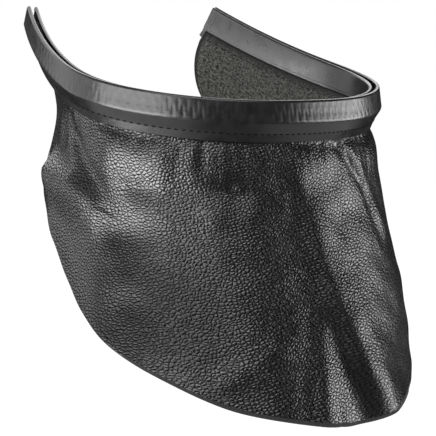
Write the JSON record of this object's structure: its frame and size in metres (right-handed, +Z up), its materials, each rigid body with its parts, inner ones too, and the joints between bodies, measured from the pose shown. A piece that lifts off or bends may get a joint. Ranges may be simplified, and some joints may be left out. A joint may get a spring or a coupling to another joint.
{
  "type": "leather chest protector for a welding helmet",
  "caption": "Black grain leather bib sewn to a flexible U-shaped edge trim that presses onto a welding helmet's lower edge, guarding the throat and chest.",
  "frame": {"origin": "middle of the groove's floor at the trim's front centre, where the helmet's lower edge sits", "axes": "+Z up out of the groove, towards the helmet; -Y is the front of the bib; X across the wearer"},
  "size_m": [0.2425, 0.2149, 0.2424],
  "materials": {
    "vinyl": "satin",
    "leather": "satin",
    "thread": "matte"
  },
  "bodies": {
    "root": {"edge_trim": "vinyl", "leather_bib": "leather"}
  },
  "joints": []
}
